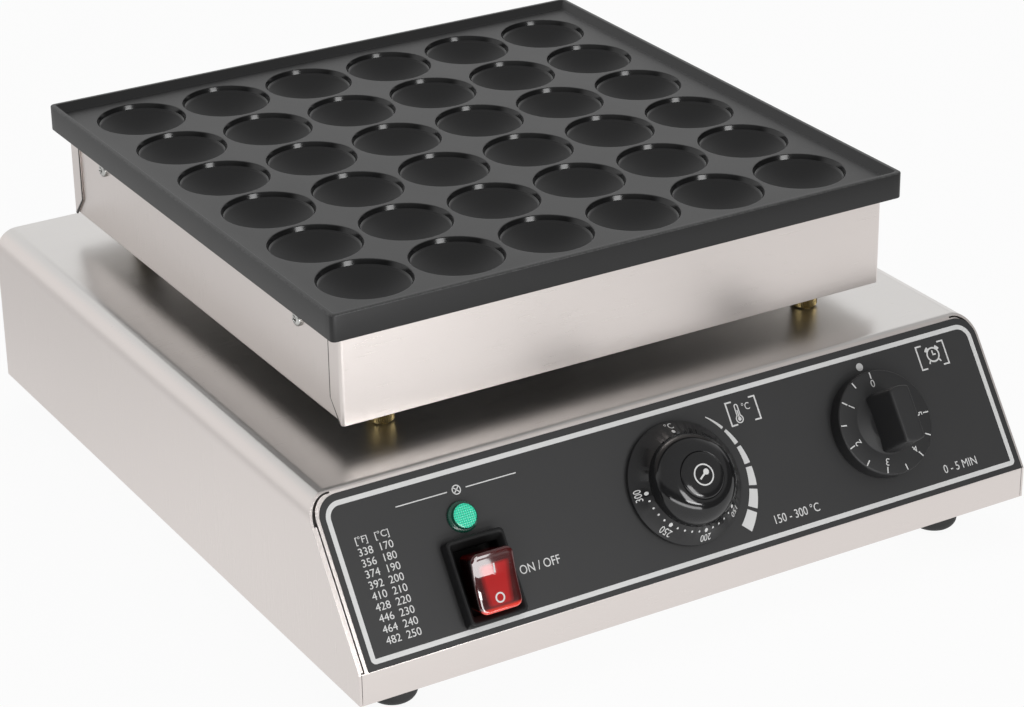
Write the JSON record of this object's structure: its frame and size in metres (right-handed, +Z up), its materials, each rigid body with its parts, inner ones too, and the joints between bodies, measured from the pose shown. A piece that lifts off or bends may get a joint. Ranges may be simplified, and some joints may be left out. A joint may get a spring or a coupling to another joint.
{
  "type": "electric muffin maker",
  "caption": "Countertop electric grill: square cast plate of dished cups on a heated steel box, raised on posts over a sheet-metal base with knobs and a rocker switch on its sloping panel.",
  "frame": {"origin": "middle of the whole grill's outline, on the floor under its feet", "axes": "+X right along the front, +Y from the control panel to the back, +Z up"},
  "size_m": [0.381, 0.439, 0.1796],
  "materials": {
    "cast_coating": "cast aluminium under a satin black non-stick coating",
    "stainless_sheet": "thin stainless sheet, fine brushed grain",
    "zinc_steel": "zinc-plated steel",
    "turned_brass": "turned and knurled brass, lightly tarnished",
    "copper": "drawn copper tube",
    "element_sheath": "heat-darkened steel tube",
    "mineral_wool": "pressed mineral wool",
    "foot_rubber": "moulded black rubber",
    "knob_plastic": "glossy black moulded plastic",
    "fitting_plastic": "satin black moulded plastic",
    "terminal_plastic": "ivory moulded plastic",
    "rocker_red": "translucent red polycarbonate",
    "lamp_green": "translucent green polycarbonate",
    "overlay_film": "dark grey printed film"
  },
  "bodies": {
    "machine": {"cooking_plate": "cast_coating", "heater_tray": "stainless_sheet", "heater_front_wall": "stainless_sheet", "heater_back_wall": "stainless_sheet", "base_shell": "stainless_sheet", "back_sheet": "stainless_sheet", "bottom_sheet": "stainless_sheet", "plate_side_screws": "zinc_steel", "clamp_bars": "zinc_steel", "clamp_studs": "zinc_steel", "clamp_nuts": "zinc_steel", "bulb_clip": "zinc_steel", "bulb_clip_screws": "zinc_steel", "wire_conduit": "zinc_steel", "conduit_nut": "zinc_steel", "post_bolts": "zinc_steel", "post_nuts": "zinc_steel", "back_screws": "zinc_steel", "bottom_screws": "zinc_steel", "foot_studs": "zinc_steel", "foot_nuts": "zinc_steel", "thermostat_body": "zinc_steel", "thermostat_screws_pair": "zinc_steel", "timer_body": "zinc_steel", "timer_screws_pair": "zinc_steel", "knurled_posts": "turned_brass", "element_pins": "turned_brass", "terminal_screws": "turned_brass", "switch_terminals": "turned_brass", "thermostat_bulb": "copper", "capillary_tube": "copper", "heating_element": "element_sheath", "insulation_mat": "mineral_wool", "rubber_feet": "foot_rubber", "cord_gland": "fitting_plastic", "gland_nut": "fitting_plastic", "switch_housing": "fitting_plastic", "lamp_body": "fitting_plastic", "lamp_nut": "fitting_plastic", "terminal_block": "terminal_plastic", "lamp_lens": "lamp_green", "panel_overlay": "overlay_film"},
    "thermostat_dial": {"thermostat_knob": "knob_plastic", "thermostat_cap": "knob_plastic", "thermostat_shaft": "zinc_steel"},
    "timer_dial": {"timer_knob": "knob_plastic", "timer_shaft": "zinc_steel"},
    "power_rocker": {"switch_rocker": "rocker_red"}
  },
  "joints": [
    {"name": "thermostat_turn", "type": "hinge", "parent": "machine", "child": "thermostat_dial", "pos_m": [-0.001, -0.18713, 0.07008], "axis": [0, -0.8126, 0.5828], "range_deg": [0, 270]},
    {"name": "timer_turn", "type": "hinge", "parent": "machine", "child": "timer_dial", "pos_m": [0.1146, -0.18713, 0.07008], "axis": [0, 0.8126, -0.5828], "range_deg": [0, 268]},
    {"name": "rocker_tilt", "type": "hinge", "parent": "machine", "child": "power_rocker", "pos_m": [-0.1178, -0.19912, 0.05936], "axis": [-1, 0, 0], "range_deg": [0, 30]}
  ]
}
